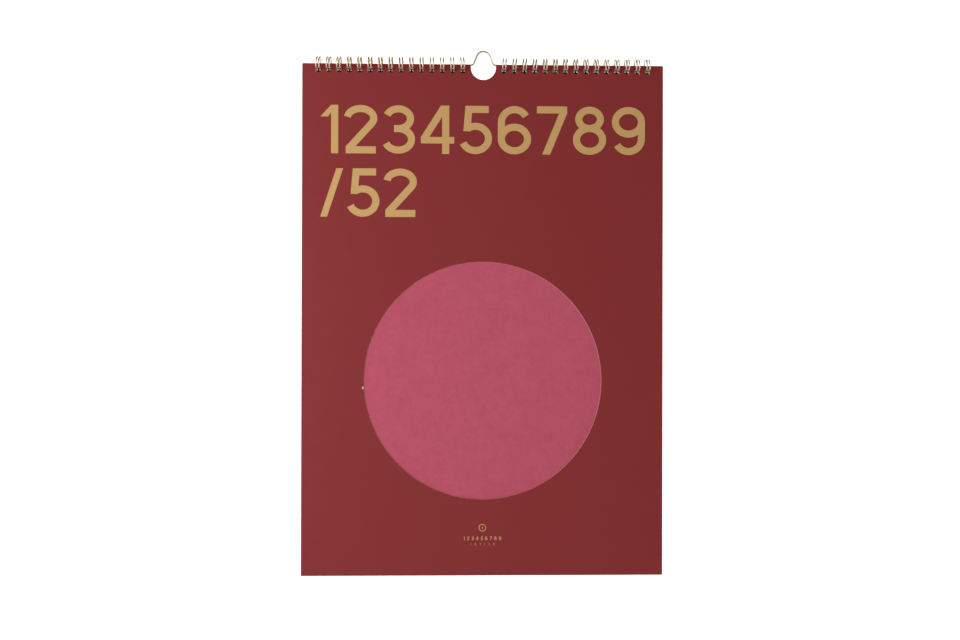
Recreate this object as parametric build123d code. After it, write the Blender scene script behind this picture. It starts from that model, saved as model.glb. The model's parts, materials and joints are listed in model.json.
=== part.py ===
from build123d import *
import math
import os

# Wire-bound wall calendar, upright, hanging on a nail.
#
# Frame: millimetres. +X is to the viewer's right, -Y towards the viewer, +Z up. The origin is the nail seat: the
# top of the space inside the hanger's hump, in the middle of the hanger wire's thickness.
#
# Stack, front to back: cover, twelve sheets, grey board. Two wires of double loops bind them along the top edge,
# left and right of a free middle, and a hanger wire lies inside the loops behind the board.

# Sheets
sheet_width = 297.0
sheet_height = 420.0
corner_radius = 0.8
cover_thickness = 0.4
page_thickness = 0.2
page_count = 12
board_thickness = 0.8

# Round window in the cover
window_diameter = 195.0
window_margin = 62.5  # from the sheets' bottom edge up to the window

# Thumb notch through every sheet, in the middle of the top edge
notch_radius = 10.4
notch_drop = 2.3  # from the top edge down to its centre

# Binding wires
loop_pitch = 25.4 / 3
first_loop = 2  # pitches from the middle to the first loop, which leaves the hanger its gap
loop_margin = 8.0  # least distance from a sheet's side edge to the middle of the last loop
loop_wire = 1.0
loop_rise = 0.4  # from the sheets' top edge up to the loops' centre
leg_spacing = 2.4  # between the two legs of a double loop
root_bend = 1.0  # radius of the bend from a root into a leg
tip_clearance = 0.3  # along the loop, from the board's back face to where the closed tips begin
seam_gap = 0.3  # along the loop, from the closed tips to the roots

# Punched holes, one for each double loop
hole_side_clearance = 0.3  # on each side of the two legs
hole_top_clearance = 0.4  # from the hole's upper edge down to the wire, at the board's back face
hole_height = 4.0

# Hanger
hanger_wire = 1.5
hanger_length = 200.0
hanger_gap = 0.15  # from the board's back face to the wire, and from the wire to the inside of the loops
hump_height = 11.4  # from the middle of the run's wire to the middle of the crown's wire
crown_radius = 5.7  # to the middle of the wire
flank_slant = 21.0  # degrees that the hump's sides splay from upright
foot_radius = 3.2  # of the bends from the sides into the run

# Depths, worked out from the middle of the cover's thickness
cover_front = -cover_thickness / 2
pages_front = cover_thickness / 2
board_front = pages_front + page_count * page_thickness
board_back = board_front + board_thickness
hanger_y = board_back + hanger_gap + hanger_wire / 2

# The loops pass round the stack and the hanger wire behind it
loop_radius = hanger_y + hanger_wire / 2 + hanger_gap + loop_wire / 2
last_loop = math.floor((sheet_width / 2 - loop_margin) / loop_pitch)

# Heights: the nail touches the underside of the crown
crown_z = hanger_wire / 2
run_z = crown_z - hump_height
top_edge_z = run_z - loop_rise
loop_centre_z = top_edge_z + loop_rise

# The frame's depth is counted from the hanger wire, so the sheets lie in front of Y = 0
to_frame = Pos(0, -hanger_y, 0)

# The loop is highest in the board's hole, so that is where the holes' upper edges are set from
loop_inside = loop_radius - loop_wire / 2
hole_top_z = loop_centre_z - math.sqrt(loop_inside**2 - board_back**2) + hole_top_clearance
hole_z = hole_top_z - hole_height / 2
hole_width = leg_spacing + loop_wire + 2 * hole_side_clearance

# The closed seam of the loops: angles from the top of a loop towards the back
board_angle = 180 - math.degrees(math.asin(board_back / loop_radius))
tip_angle = board_angle - math.degrees(tip_clearance / loop_radius)
root_angle = tip_angle - math.degrees((leg_spacing / 2 + loop_wire + seam_gap) / loop_radius)
leg_angle = root_angle - math.degrees(root_bend / loop_radius)


def loop_places(side):
    """X of each double loop on one side, side -1 for left and +1 for right, from left to right."""
    return sorted(side * step * loop_pitch for step in range(first_loop, last_loop + 1))


def punched_sheet(front, thickness):
    """A sheet or block of sheets with its thumb notch and its row of square holes, from its front face back."""
    outline = Rectangle(sheet_width, sheet_height)
    outline = fillet(outline.vertices(), corner_radius)
    face = Pos(0, top_edge_z - sheet_height / 2) * outline
    face -= Pos(0, top_edge_z - notch_drop) * Circle(notch_radius)
    for side in (-1, 1):
        for x in loop_places(side):
            face -= Pos(x, hole_z) * Rectangle(hole_width, hole_height)
    upright = Plane(origin=(0, front, 0), x_dir=(1, 0, 0), z_dir=(0, -1, 0))
    return extrude(upright * face, -thickness)


def front_cover():
    """The card cover, with its round window."""
    window_z = top_edge_z - sheet_height + window_margin + window_diameter / 2
    window = Cylinder(window_diameter / 2, 4 * cover_thickness, rotation=(90, 0, 0))
    return punched_sheet(cover_front, cover_thickness) - Pos(0, 0, window_z) * window


def loop_point(x, angle):
    """A point of the loop's circle, at an angle from its top towards the back."""
    turn = math.radians(angle)
    return Vector(x, loop_radius * math.sin(turn), loop_centre_z + loop_radius * math.cos(turn))


def loop_direction(angle):
    """The loop circle's direction at an angle, the way from the back over the top to the front."""
    turn = math.radians(angle)
    return Vector(0, -math.cos(turn), math.sin(turn))


def double_loop(x):
    """The middle line of one double loop.

    One leg goes from its root over the top, down the front and back through the sheets' holes to the closed tip,
    and the other leg returns beside it.
    """
    far_angle = tip_angle - 360
    middle_angle = (leg_angle + far_angle) / 2
    left = x - leg_spacing / 2
    right = x + leg_spacing / 2
    outward = ThreePointArc(*[loop_point(left, angle) for angle in (leg_angle, middle_angle, far_angle)])
    tip_top = loop_point(x, far_angle) + loop_direction(far_angle) * (leg_spacing / 2)
    tip = ThreePointArc(loop_point(left, far_angle), tip_top, loop_point(right, far_angle))
    back = ThreePointArc(*[loop_point(right, angle) for angle in (far_angle, middle_angle, leg_angle)])
    return [outward, tip, back]


def root(x_from, x_to):
    """The straight root between two double loops, with the bends that lead into their legs."""
    back_down = loop_direction(leg_angle) * -1
    leave = loop_point(x_from + leg_spacing / 2, leg_angle)
    arrive = loop_point(x_to - leg_spacing / 2, leg_angle)
    inset = Vector(root_bend, 0, 0)
    bar_start = leave + back_down * root_bend + inset
    bar_end = arrive + back_down * root_bend - inset
    return [
        TangentArc(leave, bar_start, tangent=back_down),
        Line(bar_start, bar_end),
        TangentArc(bar_end, arrive, tangent=inset),
    ]


def bent_wire(edges, diameter):
    """A round wire along a chain of straight runs and tangent arcs."""
    path = Wire(edges)
    section = Plane(origin=path @ 0, z_dir=path % 0) * Circle(diameter / 2)
    wire = sweep(section, path=path)
    print("wire volume", round(wire.volume, 2), "section x length", round(section.area * path.length, 2))
    return wire


def binding_wire(side):
    """One continuous wire: a row of double loops joined by straight roots."""
    places = loop_places(side)
    edges = double_loop(places[0])
    for x_from, x_to in zip(places, places[1:]):
        edges += root(x_from, x_to)
        edges += double_loop(x_to)
    return bent_wire(edges, loop_wire)


def hanger():
    """A straight wire with a bell-shaped hump in the middle, in one upright plane."""
    slant = math.radians(flank_slant)
    crown_centre_z = crown_z - crown_radius
    crown_end = Vector(crown_radius * math.cos(slant), hanger_y, crown_centre_z + crown_radius * math.sin(slant))
    foot_start_z = run_z + foot_radius * (1 - math.sin(slant))
    flank_run = (crown_end.Z - foot_start_z) * math.tan(slant)
    foot_start = Vector(crown_end.X + flank_run, hanger_y, foot_start_z)
    foot_x = foot_start.X + foot_radius * math.cos(slant)
    foot_end = Vector(foot_x, hanger_y, run_z)
    run_end = Vector(hanger_length / 2, hanger_y, run_z)

    def mirrored(point):
        return Vector(-point.X, point.Y, point.Z)

    edges = [
        Line(mirrored(run_end), mirrored(foot_end)),
        TangentArc(mirrored(foot_end), mirrored(foot_start), tangent=(1, 0, 0)),
        Line(mirrored(foot_start), mirrored(crown_end)),
        ThreePointArc(mirrored(crown_end), Vector(0, hanger_y, crown_z), crown_end),
        Line(crown_end, foot_start),
        TangentArc(foot_end, foot_start, tangent=(-1, 0, 0)),
        Line(foot_end, run_end),
    ]
    return bent_wire(edges, hanger_wire)


parts = {
    "front_cover": front_cover(),
    "page_block": punched_sheet(pages_front, page_count * page_thickness),
    "back_board": punched_sheet(board_front, board_thickness),
    "binding_wire_left": binding_wire(-1),
    "binding_wire_right": binding_wire(1),
    "hanger_wire": hanger(),
}

os.makedirs("parts", exist_ok=True)
for name, shape in parts.items():
    export_step(to_frame * shape, f"parts/{name}.step")
    print(name, "volume", round(shape.volume, 1))
print("top edge z", round(top_edge_z, 3), "hole z", round(hole_z, 3), "loop radius", round(loop_radius, 3))
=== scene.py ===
import json
import math

import bmesh
import bpy
from mathutils import Matrix, Vector


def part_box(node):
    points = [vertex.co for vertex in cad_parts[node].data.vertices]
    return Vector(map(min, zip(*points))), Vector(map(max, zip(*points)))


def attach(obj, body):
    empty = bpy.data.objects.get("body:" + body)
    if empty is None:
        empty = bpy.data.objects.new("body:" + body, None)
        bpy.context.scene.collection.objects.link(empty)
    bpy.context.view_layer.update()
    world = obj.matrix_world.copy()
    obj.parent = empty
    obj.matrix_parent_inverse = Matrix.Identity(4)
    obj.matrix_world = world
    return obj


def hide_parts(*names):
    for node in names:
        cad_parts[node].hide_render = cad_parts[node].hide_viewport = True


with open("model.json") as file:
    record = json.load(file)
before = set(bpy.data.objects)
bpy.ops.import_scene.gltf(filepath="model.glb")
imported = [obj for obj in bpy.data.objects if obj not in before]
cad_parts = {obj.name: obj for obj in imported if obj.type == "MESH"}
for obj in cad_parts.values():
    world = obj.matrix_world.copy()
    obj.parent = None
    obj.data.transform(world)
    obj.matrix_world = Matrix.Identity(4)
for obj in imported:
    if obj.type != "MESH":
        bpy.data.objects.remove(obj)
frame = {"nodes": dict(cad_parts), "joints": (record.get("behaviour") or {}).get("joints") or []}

bl_info = {
    "name": "Wall Calendar Maker",
    "version": (1, 0, 0),
    "blender": (4, 5, 0),
    "location": "View3D > Sidebar > Calendar",
    "description": "Builds a wire-bound wall calendar round its packed frame",
    "category": "Object",
}

MM = 0.001
WELD = 1e-6  # points nearer than this, in metres, are one point
STROKE = 0.146  # stroke of the printed figures, for figures one unit high
FLECK_PALE, FLECK_DARK = (0.55, 0.53, 0.48), (0.12, 0.11, 0.10)
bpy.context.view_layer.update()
LOOP_CENTRE = Vector(next(joint for joint in frame["joints"] if joint["name"] == "cover_turn")["pos_m"])
COVER_LOW, COVER_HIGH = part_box("front_cover")
LEAVES_LOW, LEAVES_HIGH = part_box("page_block")
BOARD_LOW, BOARD_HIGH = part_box("back_board")
WIRE_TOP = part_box("binding_wire_right")[1].z
SHEET_WIDTH = COVER_HIGH.x - COVER_LOW.x
SHEET_HEIGHT = COVER_HIGH.z - COVER_LOW.z
TOP_EDGE = COVER_HIGH.z
BOTTOM_EDGE = COVER_LOW.z
COVER_MIDDLE = Vector((0.0, COVER_LOW.y, (TOP_EDGE + BOTTOM_EDGE) / 2))
SIDES = ((-1, "left"), (1, "right"))
# The soft lights, in metres: their places, counted from the middle of the cover, and their sizes
KEY_PLACE, KEY_SIZE = Vector((-0.72, -0.72, 0.04)), (0.55, 0.7)
FILL_PLACE, FILL_SIZE = Vector((1.0, -1.3, -0.5)), (1.2, 1.2)
WALL_LIGHT_PLACE, WALL_LIGHT_SIZE = Vector((1.2, 0.05, 0.1)), (0.5, 1.6)
WALL_AIM_ACROSS, WALL_AIM_UP = 0.2, -0.1


# ---------------------------------------------------------------- sizes and colours a user would change

def length(name, description, default):
    """A length in metres, given here in millimetres."""
    return bpy.props.FloatProperty(
        name=name, description=description, default=default * MM, subtype="DISTANCE", unit="LENGTH",
        precision=5,
    )


def colour(name, description, default):
    """A linear colour."""
    return bpy.props.FloatVectorProperty(
        name=name, description=description, default=default, subtype="COLOR", size=3, min=0.0, max=1.0
    )


def number(name, description, default):
    """A plain number."""
    return bpy.props.FloatProperty(name=name, description=description, default=default)


def turn(name, description, default):
    """An angle, given here in degrees."""
    return bpy.props.FloatProperty(
        name=name, description=description, default=math.radians(default), subtype="ANGLE"
    )


class CalendarSheetSizes(bpy.types.PropertyGroup):
    """How the cover, the leaves and the board are cut and punched."""

    corner: length("Corner", "Radius of a sheet's corners", 0.8)
    window: length("Window", "Diameter of the cover's round window", 195.0)
    window_margin: length("Window margin", "From the bottom edge up to the window", 62.5)
    notch: length("Notch", "Radius of the thumb notch", 10.4)
    notch_drop: length("Notch drop", "From the top edge down to the notch's centre", 2.3)
    hole: length("Hole", "Width and height of a punched hole", 4.0)
    hole_drop: length("Hole drop", "From the top edge down to a hole's centre", 5.134)
    hole_corner: length("Hole corner", "Radius of a punched hole's corners", 0.35)
    cover_edge: length("Cover edge", "Rounding that the die leaves on the cover's edges", 0.07)
    leaf_edge: length("Leaf edge", "Rounding of a leaf's edges", 0.02)
    board_edge: length("Board edge", "Rounding of the board's edges", 0.1)
    leaves: bpy.props.IntProperty(name="Leaves", description="Monthly leaves behind the cover", default=12)
    leaf_gap: length("Leaf gap", "Air between two leaves", 0.03)
    leaf_shift: length("Leaf shift", "How far a leaf may lie out of line", 0.12)
    leaf_seed: bpy.props.IntProperty(name="Leaf seed", description="Seed of the leaves' shifts", default=5)


class CalendarBindingSizes(bpy.types.PropertyGroup):
    """The two wires of double loops."""

    pitch: length("Pitch", "From one double loop to the next", 25.4 / 3)
    first_loop: bpy.props.IntProperty(
        name="First loop", description="Pitches from the middle to the first double loop", default=2
    )
    loops: bpy.props.IntProperty(name="Loops", description="Double loops on each side", default=15)
    wire: length("Wire", "Thickness of the loops' wire", 1.0)
    legs: length("Leg spacing", "Between the two legs of a double loop", 2.4)
    root_bend: length("Root bend", "Radius of the bend from a root into a leg", 1.0)
    tip_gap: length("Tip gap", "From the board's back to where a closed tip begins, along the loop", 0.3)
    seam_gap: length("Seam gap", "From a closed tip to the roots, along the loop", 0.3)
    lean: length("Lean", "How far the outermost loops lean inward at their tops", 1.0)
    press_left: number("Left press", "How much the left loops are pressed down above their middle", 0.15)
    press_right: number("Right press", "How much the right loops are pressed down above their middle", 0.27)


class CalendarPrintSizes(bpy.types.PropertyGroup):
    """The gold print on the cover."""

    margin: length("Margin", "From the sheets' side edges to the print", 15.0)
    figure_height: length("Figure height", "Height of the large figures", 39.7)
    first_line: length("First line", "From the top edge down to the first line's foot", 73.8)
    second_line: length("Second line", "From the top edge down to the second line's foot", 125.8)
    second_width: length("Second line width", "Width of the second line", 79.0)
    film: length("Film", "Thickness of the ink above the card", 0.02)
    ring: length("Ring", "Outer diameter of the small ring", 6.1)
    ring_stroke: length("Ring stroke", "Stroke of the small ring", 0.6)
    ring_rise: length("Ring rise", "From the bottom edge up to the ring's centre", 39.2)
    small_height: length("Small figures", "Height of the small figures", 3.0)
    small_width: length("Small figures' width", "Width of the row of small figures", 31.0)
    small_rise: length("Small figures' rise", "From the bottom edge up to the small figures' foot", 29.0)
    fine_height: length("Fine figures", "Height of the finest figures", 1.8)
    fine_width: length("Fine figures' width", "Width of the row of the finest figures", 20.0)
    fine_rise: length("Fine figures' rise", "From the bottom edge up to the finest figures' foot", 24.7)


class CalendarFinishes(bpy.types.PropertyGroup):
    """Colours of card, paper, ink, board and wire."""

    burgundy: colour("Burgundy", "Printed face of the cover", (0.240, 0.0245, 0.0250))
    # The core colour also paints the highlight on the window's right rim
    core: colour("Card core", "Cut edges of the cover", (0.62, 0.47, 0.42))
    inside: colour("Cover inside", "Uncoated inside of the cover", (0.72, 0.66, 0.58))
    pink: colour("Pink", "First leaf", (0.53, 0.09, 0.146))
    pink_dark: colour("Pink fibre", "Darker fibre in the first leaf", (0.455, 0.069, 0.117))
    ivory: colour("Ivory", "The other leaves", (0.78, 0.74, 0.67))
    board: colour("Board", "Grey backing board", (0.31, 0.295, 0.27))
    gold: colour("Gold", "Ink of the print", (0.60, 0.36, 0.132))
    brass: colour("Brass", "Wire of the loops and the hanger", (0.64, 0.53, 0.38))
    dull_brass: colour("Dull brass", "The wire's duller patches", (0.36, 0.29, 0.20))


class CalendarStageSizes(bpy.types.PropertyGroup):
    """Camera, lights and the pale stage."""

    distance: length("Camera distance", "From the camera to the middle of the cover", 800.0)
    lens: number("Lens", "Focal length on a 36 mm sensor", 36.5)
    yaw: turn("Camera yaw", "How far the camera stands to the left of straight on", 1.5)
    pitch: turn("Camera pitch", "How far the camera stands below straight on", 0.2)
    roll: turn("Camera roll", "How far the picture is turned clockwise", 0.135)
    aim_x: length("Aim across", "From the middle of the cover to where the camera looks", -2.35)
    aim_z: length("Aim up", "From the middle of the cover to where the camera looks", -0.2)
    wall_height: length("Wall height", "From the floor up to the pale wall's top", 2700.0)
    wall_gap: length("Wall gap", "From the calendar to the pale wall behind it", 900.0)
    floor_drop: length("Floor drop", "From the calendar's bottom edge to the floor", 1100.0)
    bend: length("Bend", "Radius of the bend from the floor into the wall", 500.0)
    reach: length("Reach", "From the calendar to the ends of the floor and the wall", 4000.0)
    # The dark card behind the holes is painted shade, standing in for the shadow of a near wall
    shade_gap: length("Hole card gap", "From the board's back to the dark card behind the holes", 0.05)
    shade_margin: length("Hole card margin", "How far the card reaches past the holes", 0.5)
    key_power: number("Key power", "Soft light from the left, in watts", 7.2)
    fill_power: number("Fill power", "Soft light from the lower right, in watts", 1.5)
    glow: number("Glow", "Even light that the floor and wall give off themselves", 0.42)
    wall_power: number("Wall power", "Lights on the wall, in watts", 9.0)
    sky: number("Sky", "Strength of the even light from the sides", 0.365)
    backdrop: number("Backdrop", "How pale the surroundings look past the wall's and the floor's ends", 0.78)
    zenith: number("Zenith", "How much of that strength comes from overhead", 0.12)


GROUPS = {
    "calendar_sheets": CalendarSheetSizes,
    "calendar_binding": CalendarBindingSizes,
    "calendar_print": CalendarPrintSizes,
    "calendar_finishes": CalendarFinishes,
    "calendar_stage": CalendarStageSizes,
}


# ---------------------------------------------------------------- shader and field maths

class Value:
    """A socket that carries a number, which can be used in Python expressions."""

    def __init__(self, graph, socket):
        self.graph = graph
        self.socket = socket

    def _with(self, operation, *others):
        return self.graph.maths(operation, self, *others)

    def __add__(self, other):
        return self._with("ADD", other)

    __radd__ = __add__

    def __sub__(self, other):
        return self._with("SUBTRACT", other)

    def __rsub__(self, other):
        return self.graph.maths("SUBTRACT", other, self)

    def __mul__(self, other):
        return self._with("MULTIPLY", other)

    __rmul__ = __mul__

    def __truediv__(self, other):
        return self._with("DIVIDE", other)

    def __rtruediv__(self, other):
        return self.graph.maths("DIVIDE", other, self)

    def __pow__(self, other):
        return self._with("POWER", other)

    def __abs__(self):
        return self._with("ABSOLUTE")

    def over(self, limit):
        """1 where this is more than a limit, else 0."""
        return self._with("GREATER_THAN", limit)

    def under(self, limit):
        """1 where this is less than a limit, else 0."""
        return self._with("LESS_THAN", limit)

    def root(self):
        return self._with("SQRT")

    def clamped(self):
        """This, kept from 0 to 1."""
        return self._with("MAXIMUM", 0.0)._with("MINIMUM", 1.0)

    def ramp(self, low, high):
        """0 at low and below, 1 at high and above, and straight between them."""
        return ((self - low) / (high - low)).clamped()


class Graph:
    """A node tree that is written by calls: one for maths, and one for every other node."""

    def __init__(self, tree):
        self.tree = tree

    def plug(self, socket, value):
        """Sets a socket's value, or links it."""
        if isinstance(value, Value):
            value = value.socket
        if isinstance(value, bpy.types.NodeSocket):
            self.tree.links.new(value, socket)
        elif hasattr(value, "__len__") and not isinstance(value, str):
            wanted = len(socket.default_value)
            socket.default_value = (tuple(value) + (1.0,))[:wanted]
        else:
            socket.default_value = value

    def node(self, kind, settings=None, inputs=None):
        """Adds a node: its settings come first, and then its sockets are set or linked."""
        made = self.tree.nodes.new(kind)
        for name, value in (settings or {}).items():
            if name == "stops":
                self.set_stops(made.color_ramp, value)
            else:
                setattr(made, name, value)
        for name, value in (inputs or {}).items():
            self.plug(made.inputs[name], value)
        return made

    @staticmethod
    def set_stops(ramp, stops):
        while len(ramp.elements) < len(stops):
            ramp.elements.new(0.5)
        for element, (position, shade) in zip(ramp.elements, stops):
            element.position = position
            element.color = (*shade, 1.0)

    def value(self, kind, output, settings=None, inputs=None):
        """Adds a node and takes one of its outputs as a value."""
        return Value(self, self.node(kind, settings, inputs).outputs[output])

    def maths(self, operation, *values):
        return self.value("ShaderNodeMath", 0, {"operation": operation}, dict(enumerate(values)))

    def vector(self, **axes):
        """A vector from its X, Y and Z."""
        return self.node("ShaderNodeCombineXYZ", None, axes).outputs[0]

    def axes(self, vector):
        """The X, Y and Z of a vector, as values."""
        parts = self.node("ShaderNodeSeparateXYZ", None, {0: vector})
        return [Value(self, socket) for socket in parts.outputs]

    def scaled(self, operation, inputs):
        """The result of a multiplying or scaling vector node."""
        return self.node("ShaderNodeVectorMath", {"operation": operation}, inputs).outputs[0]

    def noise(self, place, scale, detail=3.0, roughness=0.55, stretch=None):
        """Smooth noise from about 0 to 1, at a scale in lumps per metre, stretched if asked."""
        if stretch:
            place = self.scaled("MULTIPLY", {0: place, 1: stretch})
        inputs = {"Vector": place, "Scale": scale, "Detail": detail, "Roughness": roughness}
        return self.value("ShaderNodeTexNoise", "Fac", None, inputs)

    def row(self, geometry, count, step, start=(0.0, 0.0, 0.0)):
        """Copies of a geometry in a straight row."""
        inputs = {"Count": count, "Start Location": start, "Offset": step}
        line = self.node("GeometryNodeMeshLine", None, inputs).outputs[0]
        copies = self.node("GeometryNodeInstanceOnPoints", None, {"Points": line, "Instance": geometry})
        return copies.outputs[0]

    def mix(self, factor, first, second):
        """A colour between two colours."""
        settings = {"data_type": "RGBA", "clamp_factor": True}
        return self.node("ShaderNodeMix", settings, {0: factor, 6: first, 7: second}).outputs[2]

    def shade(self, base, factor):
        """A colour made lighter or darker by a factor round 1."""
        return self.scaled("SCALE", {0: base, "Scale": factor})

    def bump(self, height, depth):
        """A normal from a height field of 0 to 1, with its depth in metres."""
        inputs = {"Strength": 1.0, "Distance": depth, "Height": height}
        return self.node("ShaderNodeBump", None, inputs).outputs["Normal"]


class Finish(Graph):
    """A material with one principled surface."""

    def __init__(self, name):
        self.material = bpy.data.materials.new(name)
        self.material.use_nodes = True
        super().__init__(self.material.node_tree)
        self.surface = self.tree.nodes["Principled BSDF"]
        coordinates = self.tree.nodes.new("ShaderNodeTexCoord")
        self.place = coordinates.outputs["Object"]
        self.facing = coordinates.outputs["Normal"]

    def finish(self, **sockets):
        """Sets the surface's sockets, named with spaces as underscores, and gives the material."""
        for name, value in sockets.items():
            self.plug(self.surface.inputs[name.replace("_", " ")], value)
        return self.material


# ---------------------------------------------------------------- finishes

def cover_card(colours, sizes):
    """Card printed burgundy in front, uncoated inside, with its pale core on every cut edge and a painted
    highlight on the window's right rim.
    """
    card = Finish("burgundy_card")
    x, y, z = card.axes(card.place)
    _, facing_y, _ = card.axes(card.facing)
    grain = card.noise(card.place, 900.0, 4.0, 0.6)
    mottle = card.noise(card.place, 55.0, 3.0)
    tooth = card.noise(card.place, 3200.0, 2.0)
    tone = 0.955 + 0.05 * mottle + 0.04 * grain
    printed = card.shade(colours.burgundy, tone)

    # Along the outer edges and round the window the ink is thin where the die broke it. Round the window the
    # pale core is also painted on more strongly towards the right, as a painted highlight where light from
    # the left would catch the cut
    rim = (x ** 2.0 + (z - window_height(sizes)) ** 2.0).root() - sizes.window / 2
    edge_x = SHEET_WIDTH / 2 - abs(x)
    edge_z = SHEET_HEIGHT / 2 - abs(z - COVER_MIDDLE.z)
    nearest = card.maths("MINIMUM", edge_x, edge_z)
    wear_noise = card.noise(card.place, 420.0, 5.0, 0.7)
    edge_wear = (1 - nearest.ramp(0.12 * MM, 0.5 * MM)) * wear_noise.ramp(0.42, 0.62)
    # Painted highlight: the core colour grows towards the right of the window's rim
    painted_highlight_right = x.ramp(20 * MM, 90 * MM)
    rim_wear_and_highlight = (1 - rim.ramp(0.06 * MM, 0.3 * MM)) * (wear_noise.ramp(0.35, 0.6) * 0.35 + painted_highlight_right * 0.6)

    # One small nick in the window's left rim, a little below its middle
    nick_x = sizes.window / 2 + 0.8 * MM
    nick_z = window_height(sizes) - 6.0 * MM
    nick_distance = ((x + nick_x) ** 2.0 + ((z - nick_z) * 0.7) ** 2.0).root() + wear_noise * 0.6 * MM
    nick = 1 - nick_distance.ramp(0.9 * MM, 1.3 * MM)

    # This mask holds real edge wear, the nick, and the painted highlight on the window's right rim
    bare_and_rim_highlight = card.maths("MAXIMUM", (edge_wear * 0.55 + rim_wear_and_highlight).clamped(), nick * 0.9)
    front = card.mix(bare_and_rim_highlight, printed, colours.core)
    fibre = card.noise(card.place, 1500.0, 3.0, 0.5, stretch=(1.0, 1.0, 0.35))
    cut = card.shade(colours.core, 0.86 + 0.28 * fibre)
    inside = card.shade(colours.inside, 0.95 + 0.08 * mottle + 0.03 * grain)
    front_or_cut = card.mix(facing_y.under(-0.6), cut, front)
    colour_all = card.mix(facing_y.over(0.6), front_or_cut, inside)
    height = tooth * 0.35 + grain * 0.45 + bare_and_rim_highlight * 0.2
    return card.finish(
        Base_Color=colour_all,
        Roughness=0.52 + 0.12 * grain + 0.2 * facing_y.over(-0.6),
        Specular_IOR_Level=0.2,
        Normal=card.bump(height, 0.02 * MM),
    )


def window_height(sizes):
    """Height of the window's centre."""
    return BOTTOM_EDGE + sizes.window_margin + sizes.window / 2


def leaf_paper(colours):
    """Uncoated paper: the first leaf mottled pink with fine fibres, the others ivory."""
    paper = Finish("pink_paper")
    leaf = paper.value("ShaderNodeAttribute", "Fac", {"attribute_name": "leaf"})
    cloud = paper.noise(paper.place, 60.0, 5.0, 0.62)
    speckle = paper.noise(paper.place, 380.0, 4.0, 0.6)
    fibre_along = paper.noise(paper.place, 260.0, 4.0, 0.6, stretch=(0.25, 1.0, 1.0))
    fibre_up = paper.noise(paper.place, 260.0, 4.0, 0.6, stretch=(1.0, 1.0, 0.25))
    tooth = paper.noise(paper.place, 2600.0, 3.0, 0.6)
    threads = fibre_along.ramp(0.5, 0.72) * 0.5 + fibre_up.ramp(0.52, 0.74) * 0.5
    blotch = paper.noise(paper.place, 170.0, 4.0, 0.6)
    felt = (cloud.ramp(0.3, 0.72) * 0.35 + blotch.ramp(0.35, 0.68) * 0.45 + speckle.ramp(0.3, 0.7) * 0.3
            + threads * 0.4 - 0.2).clamped()
    pink = paper.mix(felt, colours.pink, colours.pink_dark)
    ivory = paper.shade(colours.ivory, 0.95 + 0.05 * cloud + 0.04 * speckle)
    shade = paper.mix(leaf.over(0.5), pink, ivory)
    height = tooth * 0.5 + speckle * 0.35 + threads * 0.15
    return paper.finish(
        Base_Color=shade,
        Roughness=0.78 + 0.12 * tooth,
        Specular_IOR_Level=0.3,
        Normal=paper.bump(height, 0.05 * MM),
    )


def grey_board(colours):
    """Grey recycled board with lighter and darker flecks."""
    board = Finish("grey_board")
    cloud = board.noise(board.place, 35.0, 4.0)
    fleck = board.noise(board.place, 900.0, 4.0, 0.7, stretch=(1.0, 1.0, 0.5))
    long_fleck = board.noise(board.place, 500.0, 3.0, 0.6, stretch=(1.0, 1.0, 0.15))
    pale = fleck.ramp(0.6, 0.72) * 0.5
    dark = long_fleck.ramp(0.62, 0.76) * 0.45
    base = board.shade(colours.board, 0.9 + 0.16 * cloud)
    flecked = board.mix(dark, board.mix(pale, base, FLECK_PALE), FLECK_DARK)
    return board.finish(
        Base_Color=flecked,
        Roughness=0.86 + 0.08 * fleck,
        Specular_IOR_Level=0.25,
        Normal=board.bump(fleck * 0.6 + long_fleck * 0.4, 0.06 * MM),
    )


def gold_ink(colours):
    """Flat gold ink, a little uneven where the card's grain takes it."""
    ink = Finish("gold_ink")
    grain = ink.noise(ink.place, 1100.0, 4.0, 0.6)
    cloud = ink.noise(ink.place, 45.0, 3.0)
    tone = 0.96 + 0.05 * cloud + 0.04 * grain
    return ink.finish(
        Base_Color=ink.shade(colours.gold, tone),
        Metallic=0.15,
        Roughness=0.5 + 0.1 * grain,
        Specular_IOR_Level=0.4,
        Normal=ink.bump(grain, 0.015 * MM),
    )


def brass_wire(colours):
    """Drawn wire with a thin brass coat, duller in patches."""
    wire = Finish("brass_wire")
    patch = wire.noise(wire.place, 240.0, 3.0)
    drawn = wire.noise(wire.place, 2500.0, 3.0, 0.6)
    dull = patch.ramp(0.45, 0.75)
    return wire.finish(
        Base_Color=wire.mix(dull * 0.35, colours.brass, colours.dull_brass),
        Metallic=1.0,
        Roughness=0.28 + 0.12 * dull + 0.06 * drawn,
        Normal=wire.bump(drawn, 0.01 * MM),
    )


# ---------------------------------------------------------------- shapes

def arc(centre, radius, start, end, steps):
    """Points on an arc in the sheet's plane, angles in degrees, both ends included."""
    points = []
    for step in range(steps + 1):
        angle = math.radians(start + (end - start) * step / steps)
        points.append((centre[0] + radius * math.cos(angle), centre[1] + radius * math.sin(angle)))
    return points


def circle(centre, radius, steps):
    """Points all round a circle."""
    return arc(centre, radius, 0, 360, steps)[:-1]


def rounded_square(centre, side, radius):
    """Corner arcs of a small square hole."""
    inset = side / 2 - radius
    points = []
    for quarter, (right, up) in enumerate(((1, 1), (-1, 1), (-1, -1), (1, -1))):
        corner = (centre[0] + right * inset, centre[1] + up * inset)
        points += arc(corner, radius, 90 * quarter, 90 * quarter + 90, 3)
    return points


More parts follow.
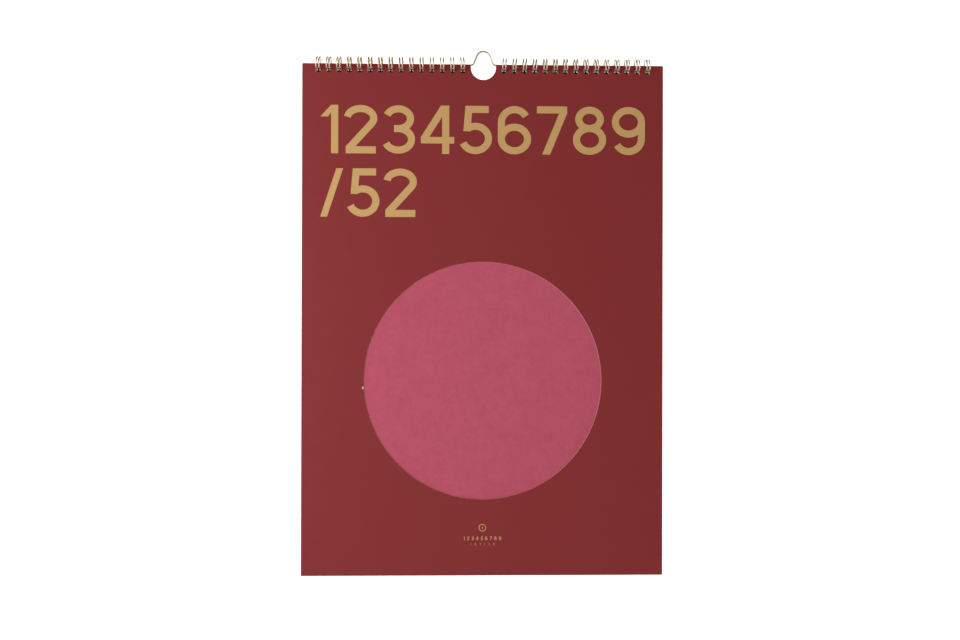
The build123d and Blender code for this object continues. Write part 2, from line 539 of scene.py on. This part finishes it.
def sheet_outline(sizes):
    """The sheet's outer edge with the thumb notch, anticlockwise from the top right corner."""
    half = SHEET_WIDTH / 2
    points = []
    corners = ((1, TOP_EDGE, 0), (-1, TOP_EDGE, 90), (-1, BOTTOM_EDGE, 180), (1, BOTTOM_EDGE, 270))
    for side, edge, start in corners:
        inward = -1 if edge == TOP_EDGE else 1
        centre = (side * (half - sizes.corner), edge + inward * sizes.corner)
        points += arc(centre, sizes.corner, start, start + 90, 5)
        if start == 0:
            reach = math.degrees(math.asin(sizes.notch_drop / sizes.notch))
            notch_centre = (0.0, TOP_EDGE - sizes.notch_drop)
            points += arc(notch_centre, sizes.notch, reach, -180 - reach, 48)
    return points


def hole_places(binding):
    """X of each double loop and its hole, from left to right."""
    steps = range(binding.first_loop, binding.first_loop + binding.loops)
    return sorted(side * step * binding.pitch for side in (-1, 1) for step in steps)


def cut_sheet(name, sizes, binding, front, thickness, rounding, with_window=False):
    """A punched sheet as a closed mesh with rounded edges, from its front face back."""
    outlines = [sheet_outline(sizes)]
    hole_z = TOP_EDGE - sizes.hole_drop
    for x in hole_places(binding):
        outlines.append(rounded_square((x, hole_z), sizes.hole, sizes.hole_corner))
    if with_window:
        outlines.append(circle((0.0, window_height(sizes)), sizes.window / 2, 240))
    return flat_shape(name, outlines, front + thickness / 2, thickness, rounding)


def flat_shape(name, outlines, middle, thickness, rounding):
    """A flat upright shape with holes, from outlines of its edges in X and Z."""
    curve = bpy.data.curves.new(name, "CURVE")
    curve.dimensions = "2D"
    curve.fill_mode = "BOTH"
    curve.extrude = thickness / 2 - rounding
    curve.bevel_depth = rounding
    curve.bevel_resolution = 1
    curve.offset = -rounding
    for outline in outlines:
        spline = curve.splines.new("POLY")
        spline.points.add(len(outline) - 1)
        for point, (x, z) in zip(spline.points, outline):
            point.co = (x, z, 0.0, 1.0)
        spline.use_cyclic_u = True
    return upright_mesh(name, curve, middle)


def plain_mesh(holder):
    """The mesh that a holder gives with its modifiers or its curve's thickness, with the holder gone."""
    evaluated = holder.evaluated_get(bpy.context.evaluated_depsgraph_get())
    mesh = bpy.data.meshes.new_from_object(evaluated)
    holder.modifiers.clear()
    bpy.data.objects.remove(holder)
    return mesh


def upright_mesh(name, curve, middle):
    """Turns a flat curve into an upright mesh that faces the viewer, merged and closed."""
    mesh = plain_mesh(placed(name + "_outline", curve))
    mesh.transform(Matrix.Translation((0.0, middle, 0.0)) @ Matrix.Rotation(math.pi / 2, 4, "X"))
    welded = bmesh.new()
    welded.from_mesh(mesh)
    bmesh.ops.remove_doubles(welded, verts=welded.verts, dist=WELD)
    bmesh.ops.dissolve_degenerate(welded, edges=welded.edges, dist=WELD / 10)
    bmesh.ops.recalc_face_normals(welded, faces=welded.faces)
    welded.to_mesh(mesh)
    welded.free()
    return mesh


def placed(name, data):
    """A new object in the scene."""
    thing = bpy.data.objects.new(name, data)
    bpy.context.scene.collection.objects.link(thing)
    return thing


def piece(name, mesh, material, body, replaces=()):
    """Puts a finished mesh in the scene, on its body."""
    mesh.materials.clear()
    mesh.materials.append(material)
    thing = placed(name, mesh)
    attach(thing, body)
    if replaces:
        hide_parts(*replaces)


def baked_nodes(name, mesh, tree, inputs):
    """Runs a geometry tree on a mesh and gives the plain mesh that comes out."""
    holder = placed(name, mesh)
    modifier = holder.modifiers.new(name, "NODES")
    modifier.node_group = tree
    sockets = {item.name: item.identifier for item in tree.interface.items_tree if item.item_type == "SOCKET"}
    for label, value in inputs.items():
        modifier[sockets[label]] = value
    return plain_mesh(holder)


def new_tree(name, **inputs):
    """The graph of a geometry tree with inputs named by kind, and the sockets of its two group nodes."""
    tree = bpy.data.node_groups.new(name, "GeometryNodeTree")
    tree.interface.new_socket("Geometry", in_out="INPUT", socket_type="NodeSocketGeometry")
    for kind, labels in inputs.items():
        for label in labels:
            tree.interface.new_socket(label, in_out="INPUT", socket_type="NodeSocket" + kind)
    tree.interface.new_socket("Geometry", in_out="OUTPUT", socket_type="NodeSocketGeometry")
    graph = Graph(tree)
    return graph, graph.node("NodeGroupInput").outputs, graph.node("NodeGroupOutput").inputs


def end_tree(graph, geometry, material, result):
    """Makes the copies real, gives them their material, and hands the tree over."""
    real = graph.node("GeometryNodeRealizeInstances", None, {0: geometry}).outputs[0]
    dressed = graph.node("GeometryNodeSetMaterial", None, {"Geometry": real, "Material": material})
    graph.plug(result[0], dressed.outputs[0])
    return graph.tree


def stack_tree():
    """Stacks copies of one leaf backwards, each a hair out of line and numbered in an attribute."""
    numbers, sizes = ("Leaves", "Seed"), ("Step", "Shift")
    graph, given, result = new_tree("leaf_stack", Int=numbers, Float=sizes, Material=("Paper",))
    copies = graph.row(given["Geometry"], given["Leaves"], graph.vector(Y=given["Step"]))
    index = graph.node("GeometryNodeInputIndex").outputs[0]
    numbered = graph.node("GeometryNodeStoreNamedAttribute", {"data_type": "FLOAT", "domain": "INSTANCE"}, {
        "Geometry": copies,
        "Name": "leaf",
        "Value": index,
    }).outputs[0]
    drift = graph.node("FunctionNodeRandomValue", {"data_type": "FLOAT_VECTOR"}, {
        0: (-1.0, 0.0, -1.0),
        1: (1.0, 0.0, 1.0),
        "Seed": given["Seed"],
    }).outputs[0]
    shifted = graph.node("GeometryNodeTranslateInstances", None, {
        "Instances": numbered,
        "Translation": graph.scaled("SCALE", {0: drift, "Scale": given["Shift"]}),
    }).outputs[0]
    return end_tree(graph, shifted, given["Paper"], result)


def loops_tree():
    """Repeats one double loop along X, joins the copies into one line and gives it a round wire."""
    sizes = ("Start", "Pitch", "Low end", "High end", "Wire radius", "Lean", "Press", "Sheet half",
             "Centre depth", "Centre height", "Loop radius")
    graph, given, result = new_tree("loop_row", Int=("Loops",), Float=sizes, Material=("Brass",))
    step, start = graph.vector(X=given["Pitch"]), graph.vector(X=given["Start"])
    copies = graph.row(given["Geometry"], given["Loops"], step, start)
    real = graph.node("GeometryNodeRealizeInstances", None, {0: copies}).outputs[0]
    merge = {"Geometry": real, "Distance": 2 * WELD}
    joined = graph.node("GeometryNodeMergeByDistance", None, merge).outputs[0]
    x, y, z = graph.axes(graph.node("GeometryNodeInputPosition").outputs[0])
    outside = x.under(given["Low end"]) + x.over(given["High end"])
    trimmed = graph.node("GeometryNodeDeleteGeometry", {"domain": "POINT"}, {
        "Geometry": joined,
        "Selection": outside.over(0.5),
    }).outputs[0]

    # The loops lean towards the middle at their tops, most near the sides, but those by the notch lean away
    far_out = abs(x) / given["Sheet half"]
    tilt = 0.4 * far_out.ramp(0.3, 0.5) + 0.6 * far_out.ramp(0.72, 0.93) ** 2.0
    tilt = tilt - 0.8 * (1 - far_out.ramp(0.11, 0.3))
    height = ((z - given["Centre height"]) / given["Loop radius"] + 1.0) / 2.0
    inward = graph.maths("SIGN", x) * given["Lean"] * -1.0
    # Less behind, where the cover's holes come to when it is turned right over
    behind = ((y - given["Centre depth"]) / given["Loop radius"]).clamped()
    lean = inward * tilt * height ** 2.0 * (1 - 0.55 * behind ** 2.0)

    # Above their middle the loops are pressed a little flat, as closing them leaves them
    above = graph.maths("MAXIMUM", z - given["Centre height"], 0.0)
    drop = above * given["Press"] * -1.0
    shift = graph.vector(X=lean, Z=drop)
    leaning = graph.node("GeometryNodeSetPosition", None, {"Geometry": trimmed, "Offset": shift}).outputs[0]
    path = graph.node("GeometryNodeMeshToCurve", None, {0: leaning}).outputs[0]
    ring = graph.node("GeometryNodeCurvePrimitiveCircle", None, {
        "Resolution": 12,
        "Radius": given["Wire radius"],
    }).outputs[0]
    tube = graph.node("GeometryNodeCurveToMesh", None, {
        "Curve": path,
        "Profile Curve": ring,
        "Fill Caps": True,
    }).outputs[0]
    smooth = graph.node("GeometryNodeSetShadeSmooth", None, {"Geometry": tube}).outputs[0]
    return end_tree(graph, smooth, given["Brass"], result)


def loop_line(binding):
    """The middle line of one double loop and half a root on each side, round X = 0, as a chain of edges."""
    radius = WIRE_TOP - LOOP_CENTRE.z - binding.wire / 2
    half_legs = binding.legs / 2
    behind = 180 - math.degrees(math.asin((BOARD_HIGH.y - LOOP_CENTRE.y) / radius))
    tip = behind - math.degrees(binding.tip_gap / radius)
    root = tip - math.degrees((half_legs + binding.wire + binding.seam_gap) / radius)
    leg = root - math.degrees(binding.root_bend / radius)

    def on_loop(x, angle):
        turned = math.radians(angle)
        return LOOP_CENTRE + Vector((x, radius * math.sin(turned), radius * math.cos(turned)))

    def along(angle):
        turned = math.radians(angle)
        return Vector((0.0, -math.cos(turned), math.sin(turned)))

    points = [on_loop(-binding.pitch / 2, leg) - along(leg) * binding.root_bend]
    bend_steps = 6
    for step in range(bend_steps):
        swing = math.radians(90 * step / bend_steps)
        x = -half_legs - binding.root_bend * (1 - math.sin(swing))
        points.append(on_loop(x, leg) - along(leg) * binding.root_bend * math.cos(swing))
    leg_steps = 60
    for step in range(leg_steps + 1):
        points.append(on_loop(-half_legs, leg + (tip - 360 - leg) * step / leg_steps))
    tip_steps = 10
    for step in range(1, tip_steps // 2 + 1):
        swing = math.pi / tip_steps * step
        far = on_loop(-half_legs * math.cos(swing), tip)
        points.append(far + along(tip) * half_legs * math.sin(swing))
    mirrored = [Vector((-point.x, point.y, point.z)) for point in reversed(points[:-1])]
    points += mirrored
    mesh = bpy.data.meshes.new("loop_line")
    mesh.from_pydata(points, [(i, i + 1) for i in range(len(points) - 1)], [])
    return mesh, radius


def bow(centre, reach, start, end):
    """Points along part of an ellipse, angles in degrees, turning either way."""
    steps = max(2, round(abs(end - start) / 7.5))
    angles = [math.radians(start + (end - start) * step / steps) for step in range(steps + 1)]
    (x, z), (across, up) = centre, reach
    return [(x + across * math.cos(angle), z + up * math.sin(angle)) for angle in angles]


def slab(*points):
    """A straight-sided part of a figure, from its corners."""
    return points, points, False


def stroke(points, closed=False):
    """A stroke of even width along a line of points, as its two sides."""
    if closed:
        points = points[:-1]
    last = len(points) - 1
    left, right = [], []
    for index, (x, z) in enumerate(points):
        before = points[index - 1] if closed or index else points[0]
        after = points[(index + 1) % len(points)] if closed or index < last else points[last]
        ahead = Vector((after[0] - before[0], after[1] - before[1])).normalized()
        left.append((x - ahead.y * STROKE / 2, z + ahead.x * STROKE / 2))
        right.append((x + ahead.y * STROKE / 2, z - ahead.x * STROKE / 2))
    return left, right, closed


def figure_parts(figure):
    """The strokes of one figure, one unit high: round ones on ellipses, straight ones as slabs."""
    middle, wide, edge = 0.345, 0.272, STROKE / 2
    upper, lower = (middle, 0.657), (middle, 0.318)
    six = [stroke(bow(lower, (wide, 0.245), 0, 360), closed=True),
           stroke([(middle - wide, lower[1])] + bow(upper, (wide, 0.27), 180, 30))]
    if figure == "1":
        return [slab((0.27, 0), (0.416, 0), (0.416, 1), (0.27, 1)),
                slab((0.05, 0.76), (0.205, 0.76), (0.40, 1), (0.27, 1))]
    if figure == "2":
        return [stroke(bow((middle, 0.728), (wide, 0.199), 172, -34) + [(0.28, 0.30)]),
                slab((0.04, 0.144), (0.238, 0.144), (0.482, 0.41), (0.284, 0.41)),
                slab((0.04, 0), (0.66, 0), (0.66, STROKE), (0.04, STROKE))]
    if figure == "3":
        return [stroke(bow((0.325, 0.722), (0.25, 0.205), 158, -90)),
                stroke(bow((0.325, 0.295), (wide, 0.222), 90, -158)),
                slab((0.235, 0.444), (0.33, 0.444), (0.33, 0.59), (0.235, 0.59))]
    if figure == "4":
        return [slab((0.44, 0), (0.586, 0), (0.586, 1), (0.44, 1)),
                slab((0, 0.215), (0.69, 0.215), (0.69, 0.35), (0, 0.35)),
                slab((0, 0.345), (0.173, 0.345), (0.585, 0.999), (0.413, 0.999))]
    if figure == "5":
        return [slab((0.13, 1 - STROKE), (0.61, 1 - STROKE), (0.61, 1), (0.13, 1)),
                slab((0.086, 0.474), (0.232, 0.474), (0.276, 0.999), (0.13, 0.999)),
                stroke(bow((0.335, 0.325), (wide, 0.252), 130, -158))]
    if figure == "6":
        return six
    if figure == "7":
        return [slab((0.03, 1 - STROKE), (0.66, 1 - STROKE), (0.66, 1), (0.03, 1)),
                slab((0.14, 0), (0.305, 0), (0.66, 0.86), (0.495, 0.86))]
    if figure == "8":
        return [stroke(bow((middle, 0.737), (0.225, 0.19), 0, 360), closed=True),
                stroke(bow((middle, 0.31), (wide, 0.237), 0, 360), closed=True)]
    if figure == "9":
        turned = [[[(2 * middle - x, 1 - z) for x, z in side] for side in part[:2]] for part in six]
        return [(*sides, part[2]) for sides, part in zip(turned, six)]
    if figure == "0":
        return [stroke(bow((middle, 0.5), (wide, 0.5 - edge), 0, 360), closed=True)]
    return [slab((0, 0), (0.14, 0), (0.47, 1), (0.33, 1))]


def add_part(shape, part, shift):
    """Adds one part of a figure as a closed solid of unit thickness."""
    left, right, closed = part
    if left is right:
        front, back = [[shape.verts.new((x + shift, y, z)) for x, z in left] for y in (0.0, 1.0)]
        shape.faces.new(front)
        shape.faces.new(back[::-1])
        for index in range(len(front)):
            shape.faces.new((front[index - 1], back[index - 1], back[index], front[index]))
        return
    rings = []
    for one, other in zip(left, right):
        corner = ((one, 0.0), (other, 0.0), (other, 1.0), (one, 1.0))
        rings.append([shape.verts.new((place[0] + shift, y, place[1])) for place, y in corner])
    if closed:
        rings.append(rings[0])
    else:
        shape.faces.new(rings[0])
        shape.faces.new(rings[-1][::-1])
    for ring, following in zip(rings, rings[1:]):
        for index in range(4):
            shape.faces.new((ring[index - 1], following[index - 1], following[index], ring[index]))


def union_tree():
    """Joins the overlapping solids of one mesh into one closed solid."""
    graph, given, result = new_tree("figure_union", Material=("Ink",))
    joined = graph.node("GeometryNodeMeshBoolean", {"operation": "UNION", "solver": "EXACT"}, {
        "Mesh 2": given["Geometry"],
        "Self Intersection": True,
    }).outputs[0]
    return end_tree(graph, joined, given["Ink"], result)


def figures(name, text, height, width, left, foot, film, tree, ink):
    """Plain figures of a given height and width, from their left end and foot, as a film on the cover."""
    rows = [figure_parts(figure) for figure in text]
    spans = []
    for parts in rows:
        across = [x for part in parts for side in part[:2] for x, _ in side]
        spans.append((min(across), max(across)))
    spare = width / height - sum(high - low for low, high in spans)
    gap = spare / (len(text) - 1)
    shape = bmesh.new()
    reached = 0.0
    for parts, (low, high) in zip(rows, spans):
        for part in parts:
            add_part(shape, part, reached - low)
        reached += high - low + gap
    bmesh.ops.recalc_face_normals(shape, faces=shape.faces)
    mesh = bpy.data.meshes.new(name)
    shape.to_mesh(mesh)
    shape.free()
    mesh = baked_nodes(name + "_union", mesh, tree, {"Ink": ink})
    place = Matrix.Translation((left, COVER_LOW.y - film, foot))
    mesh.transform(place @ Matrix.Diagonal((height, film, height, 1.0)))
    return mesh


# ---------------------------------------------------------------- operators

class CALENDAR_OT_cover(bpy.types.Operator):
    """Cut the card cover with its window, notch and punched holes"""

    bl_idname = "calendar.cover"
    bl_label = "Cover"

    def execute(self, context):
        sizes = context.scene.calendar_sheets
        material = cover_card(context.scene.calendar_finishes, sizes)
        thickness = COVER_HIGH.y - COVER_LOW.y
        mesh = cut_sheet("cover", sizes, context.scene.calendar_binding, COVER_LOW.y, thickness,
                         sizes.cover_edge, with_window=True)
        piece("cover", mesh, material, "cover", ["front_cover"])
        return {"FINISHED"}


class CALENDAR_OT_leaves(bpy.types.Operator):
    """Stack the monthly leaves behind the cover"""

    bl_idname = "calendar.leaves"
    bl_label = "Leaves"

    def execute(self, context):
        sizes = context.scene.calendar_sheets
        material = leaf_paper(context.scene.calendar_finishes)
        step = (LEAVES_HIGH.y - LEAVES_LOW.y) / sizes.leaves
        front = LEAVES_LOW.y + sizes.leaf_gap / 2
        leaf = cut_sheet("leaf", sizes, context.scene.calendar_binding, front, step - sizes.leaf_gap,
                         sizes.leaf_edge)
        mesh = baked_nodes("leaves_stack", leaf, stack_tree(), {
            "Leaves": sizes.leaves,
            "Step": step,
            "Shift": sizes.leaf_shift,
            "Seed": sizes.leaf_seed,
            "Paper": material,
        })
        piece("leaves", mesh, material, "binding", ["page_block"])
        return {"FINISHED"}


class CALENDAR_OT_board(bpy.types.Operator):
    """Cut the grey board behind the leaves"""

    bl_idname = "calendar.board"
    bl_label = "Board"

    def execute(self, context):
        sizes = context.scene.calendar_sheets
        material = grey_board(context.scene.calendar_finishes)
        thickness = BOARD_HIGH.y - BOARD_LOW.y
        mesh = cut_sheet("board", sizes, context.scene.calendar_binding, BOARD_LOW.y, thickness,
                         sizes.board_edge)
        piece("board", mesh, material, "binding", ["back_board"])
        return {"FINISHED"}


class CALENDAR_OT_wires(bpy.types.Operator):
    """Bend the two binding wires and finish the hanger wire"""

    bl_idname = "calendar.wires"
    bl_label = "Wires"

    def execute(self, context):
        binding = context.scene.calendar_binding
        material = brass_wire(context.scene.calendar_finishes)
        tree = loops_tree()
        for (side, name), press in zip(SIDES, (binding.press_left, binding.press_right)):
            line, radius = loop_line(binding)
            places = [x for x in hole_places(binding) if x * side > 0]
            reach = binding.legs / 2 + WELD
            inputs = {
                "Loops": binding.loops,
                "Start": places[0],
                "Pitch": binding.pitch,
                "Low end": places[0] - reach,
                "High end": places[-1] + reach,
                "Wire radius": binding.wire / 2,
                "Lean": binding.lean,
                "Press": press,
                "Sheet half": SHEET_WIDTH / 2,
                "Centre depth": LOOP_CENTRE.y,
                "Centre height": LOOP_CENTRE.z,
                "Loop radius": radius,
                "Brass": material,
            }
            mesh = baked_nodes("loops_" + name, line, tree, inputs)
            piece("loops_" + name, mesh, material, "binding", ["binding_wire_" + name])
        hanger = frame["nodes"]["hanger_wire"]
        hanger.data.materials.clear()
        hanger.data.materials.append(material)
        return {"FINISHED"}


class CALENDAR_OT_print(bpy.types.Operator):
    """Print plain gold figures and a small ring on the cover"""

    bl_idname = "calendar.print"
    bl_label = "Print"

    def execute(self, context):
        sizes = context.scene.calendar_print
        material = gold_ink(context.scene.calendar_finishes)
        left = sizes.margin - SHEET_WIDTH / 2
        full = SHEET_WIDTH - 2 * sizes.margin
        short, small, fine = sizes.second_width, sizes.small_width, sizes.fine_width
        rows = (
            ("title_figures", "123456789", sizes.figure_height, full, left, TOP_EDGE - sizes.first_line),
            ("title_weeks", "/52", sizes.figure_height, short, left, TOP_EDGE - sizes.second_line),
            ("small_figures", "123456789", sizes.small_height, small, -small / 2,
             BOTTOM_EDGE + sizes.small_rise),
            ("fine_figures", "101112", sizes.fine_height, fine, -fine / 2, BOTTOM_EDGE + sizes.fine_rise),
        )
        tree = union_tree()
        for name, text, height, width, start, foot in rows:
            mesh = figures(name, text, height, width, start, foot, sizes.film, tree, material)
            piece(name, mesh, material, "cover")
        centre = (0.0, BOTTOM_EDGE + sizes.ring_rise)
        rings = [circle(centre, sizes.ring / 2, 64),
                 circle(centre, sizes.ring / 2 - sizes.ring_stroke, 64),
                 circle(centre, sizes.ring_stroke, 32)]
        mesh = flat_shape("small_ring", rings, COVER_LOW.y - sizes.film / 2, sizes.film, 0.0)
        piece("small_ring", mesh, material, "cover")
        return {"FINISHED"}


class CALENDAR_OT_stage(bpy.types.Operator):
    """Set up the pale stage, the soft lights and the camera"""

    bl_idname = "calendar.stage"
    bl_label = "Stage"

    def execute(self, context):
        stage = context.scene.calendar_stage
        make_stage(stage)
        # Painted shade behind the punched holes
        make_painted_hole_shade(stage, context.scene.calendar_binding, context.scene.calendar_sheets)
        make_lights(context, stage)
        make_camera(context, stage)
        return {"FINISHED"}


def make_stage(stage):
    """A seamless pale floor that rises into a wall, behind and below the calendar."""
    floor_z = BOTTOM_EDGE - stage.floor_drop
    bend = arc((stage.wall_gap - stage.bend, floor_z + stage.bend), stage.bend, -90, 0, 12)
    profile = [(-stage.reach, floor_z), *bend, (stage.wall_gap, floor_z + stage.wall_height)]
    points = [(x, y, z) for y, z in profile for x in (-stage.reach, stage.reach)]
    faces = [(2 * i, 2 * i + 1, 2 * i + 3, 2 * i + 2) for i in range(len(profile) - 1)]
    mesh = bpy.data.meshes.new("stage")
    mesh.from_pydata(points, [], faces)
    for polygon in mesh.polygons:
        polygon.use_smooth = True
    pale = Finish("pale_stage")
    mesh.materials.append(pale.finish(
        Base_Color=(0.93, 0.93, 0.93),
        Roughness=0.9,
        Specular_IOR_Level=0.1,
        Emission_Color=(1.0, 1.0, 1.0),
        Emission_Strength=stage.glow,
    ))
    sweep = placed("stage", mesh)


def make_painted_hole_shade(stage, binding, sheets):
    """Dark strips of the stage at the board's back: painted shade, so the holes show dark in front, as the
    shadow of a near wall would make them.

    They follow the binding, are seen from in front only, and neither cast a shadow nor show in a reflection.
    """
    # Near-black painted shade, seen from in front only
    dark = Finish("hole_card")
    clear = dark.node("ShaderNodeBsdfTransparent").outputs[0]
    behind = dark.node("ShaderNodeNewGeometry").outputs["Backfacing"]
    dark.finish(Base_Color=(0.02, 0.02, 0.02), Roughness=1.0, Specular_IOR_Level=0.0)
    either = dark.node("ShaderNodeMixShader", None, {0: behind, 1: dark.surface.outputs[0], 2: clear})
    dark.plug(dark.tree.nodes["Material Output"].inputs["Surface"], either.outputs[0])
    places = hole_places(binding)
    y = BOARD_HIGH.y + stage.shade_gap
    reach = sheets.hole / 2 + stage.shade_margin
    top, foot = TOP_EDGE - sheets.hole_drop + reach, TOP_EDGE - sheets.hole_drop - reach
    for side, name in SIDES:
        row = [x for x in places if x * side > 0]
        low, high = row[0] - reach, row[-1] + reach
        mesh = bpy.data.meshes.new("hole_card")
        mesh.from_pydata([(low, y, foot), (high, y, foot), (high, y, top), (low, y, top)], [], [(0, 1, 2, 3)])
        mesh.materials.append(dark.material)
        card = placed("hole_card_" + name, mesh)
        card.visible_shadow = card.visible_diffuse = card.visible_glossy = False
        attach(card, "binding")


def area_light(name, place, target, size, power):
    """A soft rectangular light that points at a target, both counted from the middle of the cover."""
    lamp = bpy.data.lights.new(name, "AREA")
    lamp.shape = "RECTANGLE"
    lamp.size, lamp.size_y = size
    lamp.energy = power
    holder = placed(name, lamp)
    holder.location = COVER_MIDDLE + place
    holder.visible_camera = False
    holder.rotation_euler = (target - place).to_track_quat("-Z", "Y").to_euler()


def make_lights(context, stage):
    """A large soft light from the left, a weaker one from the right, and two that wash the wall."""
    area_light("key", KEY_PLACE, Vector(), KEY_SIZE, stage.key_power)
    area_light("fill", FILL_PLACE, Vector(), FILL_SIZE, stage.fill_power)
    for side, name in SIDES:
        place = Vector((side * WALL_LIGHT_PLACE.x, WALL_LIGHT_PLACE.y, WALL_LIGHT_PLACE.z))
        target = Vector((-side * WALL_AIM_ACROSS, stage.wall_gap, WALL_AIM_UP))
        area_light("wall_" + name, place, target, WALL_LIGHT_SIZE, stage.wall_power)
    world = bpy.data.worlds.new("even_light")
    world.use_nodes = True
    sky = Graph(world.node_tree)
    background = world.node_tree.nodes["Background"]
    way = sky.node("ShaderNodeTexCoord").outputs["Generated"]
    height = sky.value("ShaderNodeSeparateXYZ", "Z", None, {0: way})
    sky.plug(background.inputs["Color"], (1.0, 1.0, 1.0))
    lighting = stage.sky * (1.0 - (1.0 - stage.zenith) * height.ramp(0.1, 0.6))
    seen = sky.value("ShaderNodeLightPath", "Is Camera Ray")
    sky.plug(background.inputs["Strength"], lighting * (1.0 - seen) + stage.backdrop * seen)
    context.scene.world = world
    context.scene.view_settings.view_transform = "Standard"


def make_camera(context, stage):
    """A camera almost straight in front of the cover, a little to the left and below."""
    lens = bpy.data.cameras.new("camera")
    lens.lens = stage.lens
    lens.clip_start = 0.01
    away = Vector((-math.sin(stage.yaw), -math.cos(stage.yaw), -math.tan(stage.pitch)))
    place = COVER_MIDDLE + away * stage.distance
    target = COVER_MIDDLE + Vector((stage.aim_x, 0.0, stage.aim_z))
    aim = (target - place).to_track_quat("-Z", "Y").to_matrix().to_4x4()
    camera = placed("camera", lens)
    camera.matrix_world = Matrix.Translation(place) @ aim @ Matrix.Rotation(stage.roll, 4, "Z")
    context.scene.camera = camera


OPERATORS = (
    CALENDAR_OT_cover,
    CALENDAR_OT_leaves,
    CALENDAR_OT_board,
    CALENDAR_OT_wires,
    CALENDAR_OT_print,
    CALENDAR_OT_stage,
)


class CALENDAR_PT_maker(bpy.types.Panel):
    """Lists the calendar's pieces in the sidebar"""

    bl_label = "Calendar"
    bl_space_type = "VIEW_3D"
    bl_region_type = "UI"
    bl_category = "Calendar"

    def draw(self, context):
        for operator in OPERATORS:
            self.layout.operator(operator.bl_idname)
        for group in GROUPS:
            self.layout.prop(context.scene, group)


def register():
    for name, group in GROUPS.items():
        bpy.utils.register_class(group)
        setattr(bpy.types.Scene, name, bpy.props.PointerProperty(type=group))
    for operator in OPERATORS:
        bpy.utils.register_class(operator)
    bpy.utils.register_class(CALENDAR_PT_maker)


def unregister():
    bpy.utils.unregister_class(CALENDAR_PT_maker)
    for operator in reversed(OPERATORS):
        bpy.utils.unregister_class(operator)
    for name, group in GROUPS.items():
        delattr(bpy.types.Scene, name)
        bpy.utils.unregister_class(group)


def corners(bounds):
    """A box's two corners as plain lists of numbers."""
    return [[float(number) for number in corner] for corner in bounds]


def main():
    register()
    bpy.ops.calendar.cover()
    bpy.ops.calendar.leaves()
    bpy.ops.calendar.board()
    bpy.ops.calendar.wires()
    bpy.ops.calendar.print()
    bpy.ops.calendar.stage()


if __name__ == "__main__":
    main()
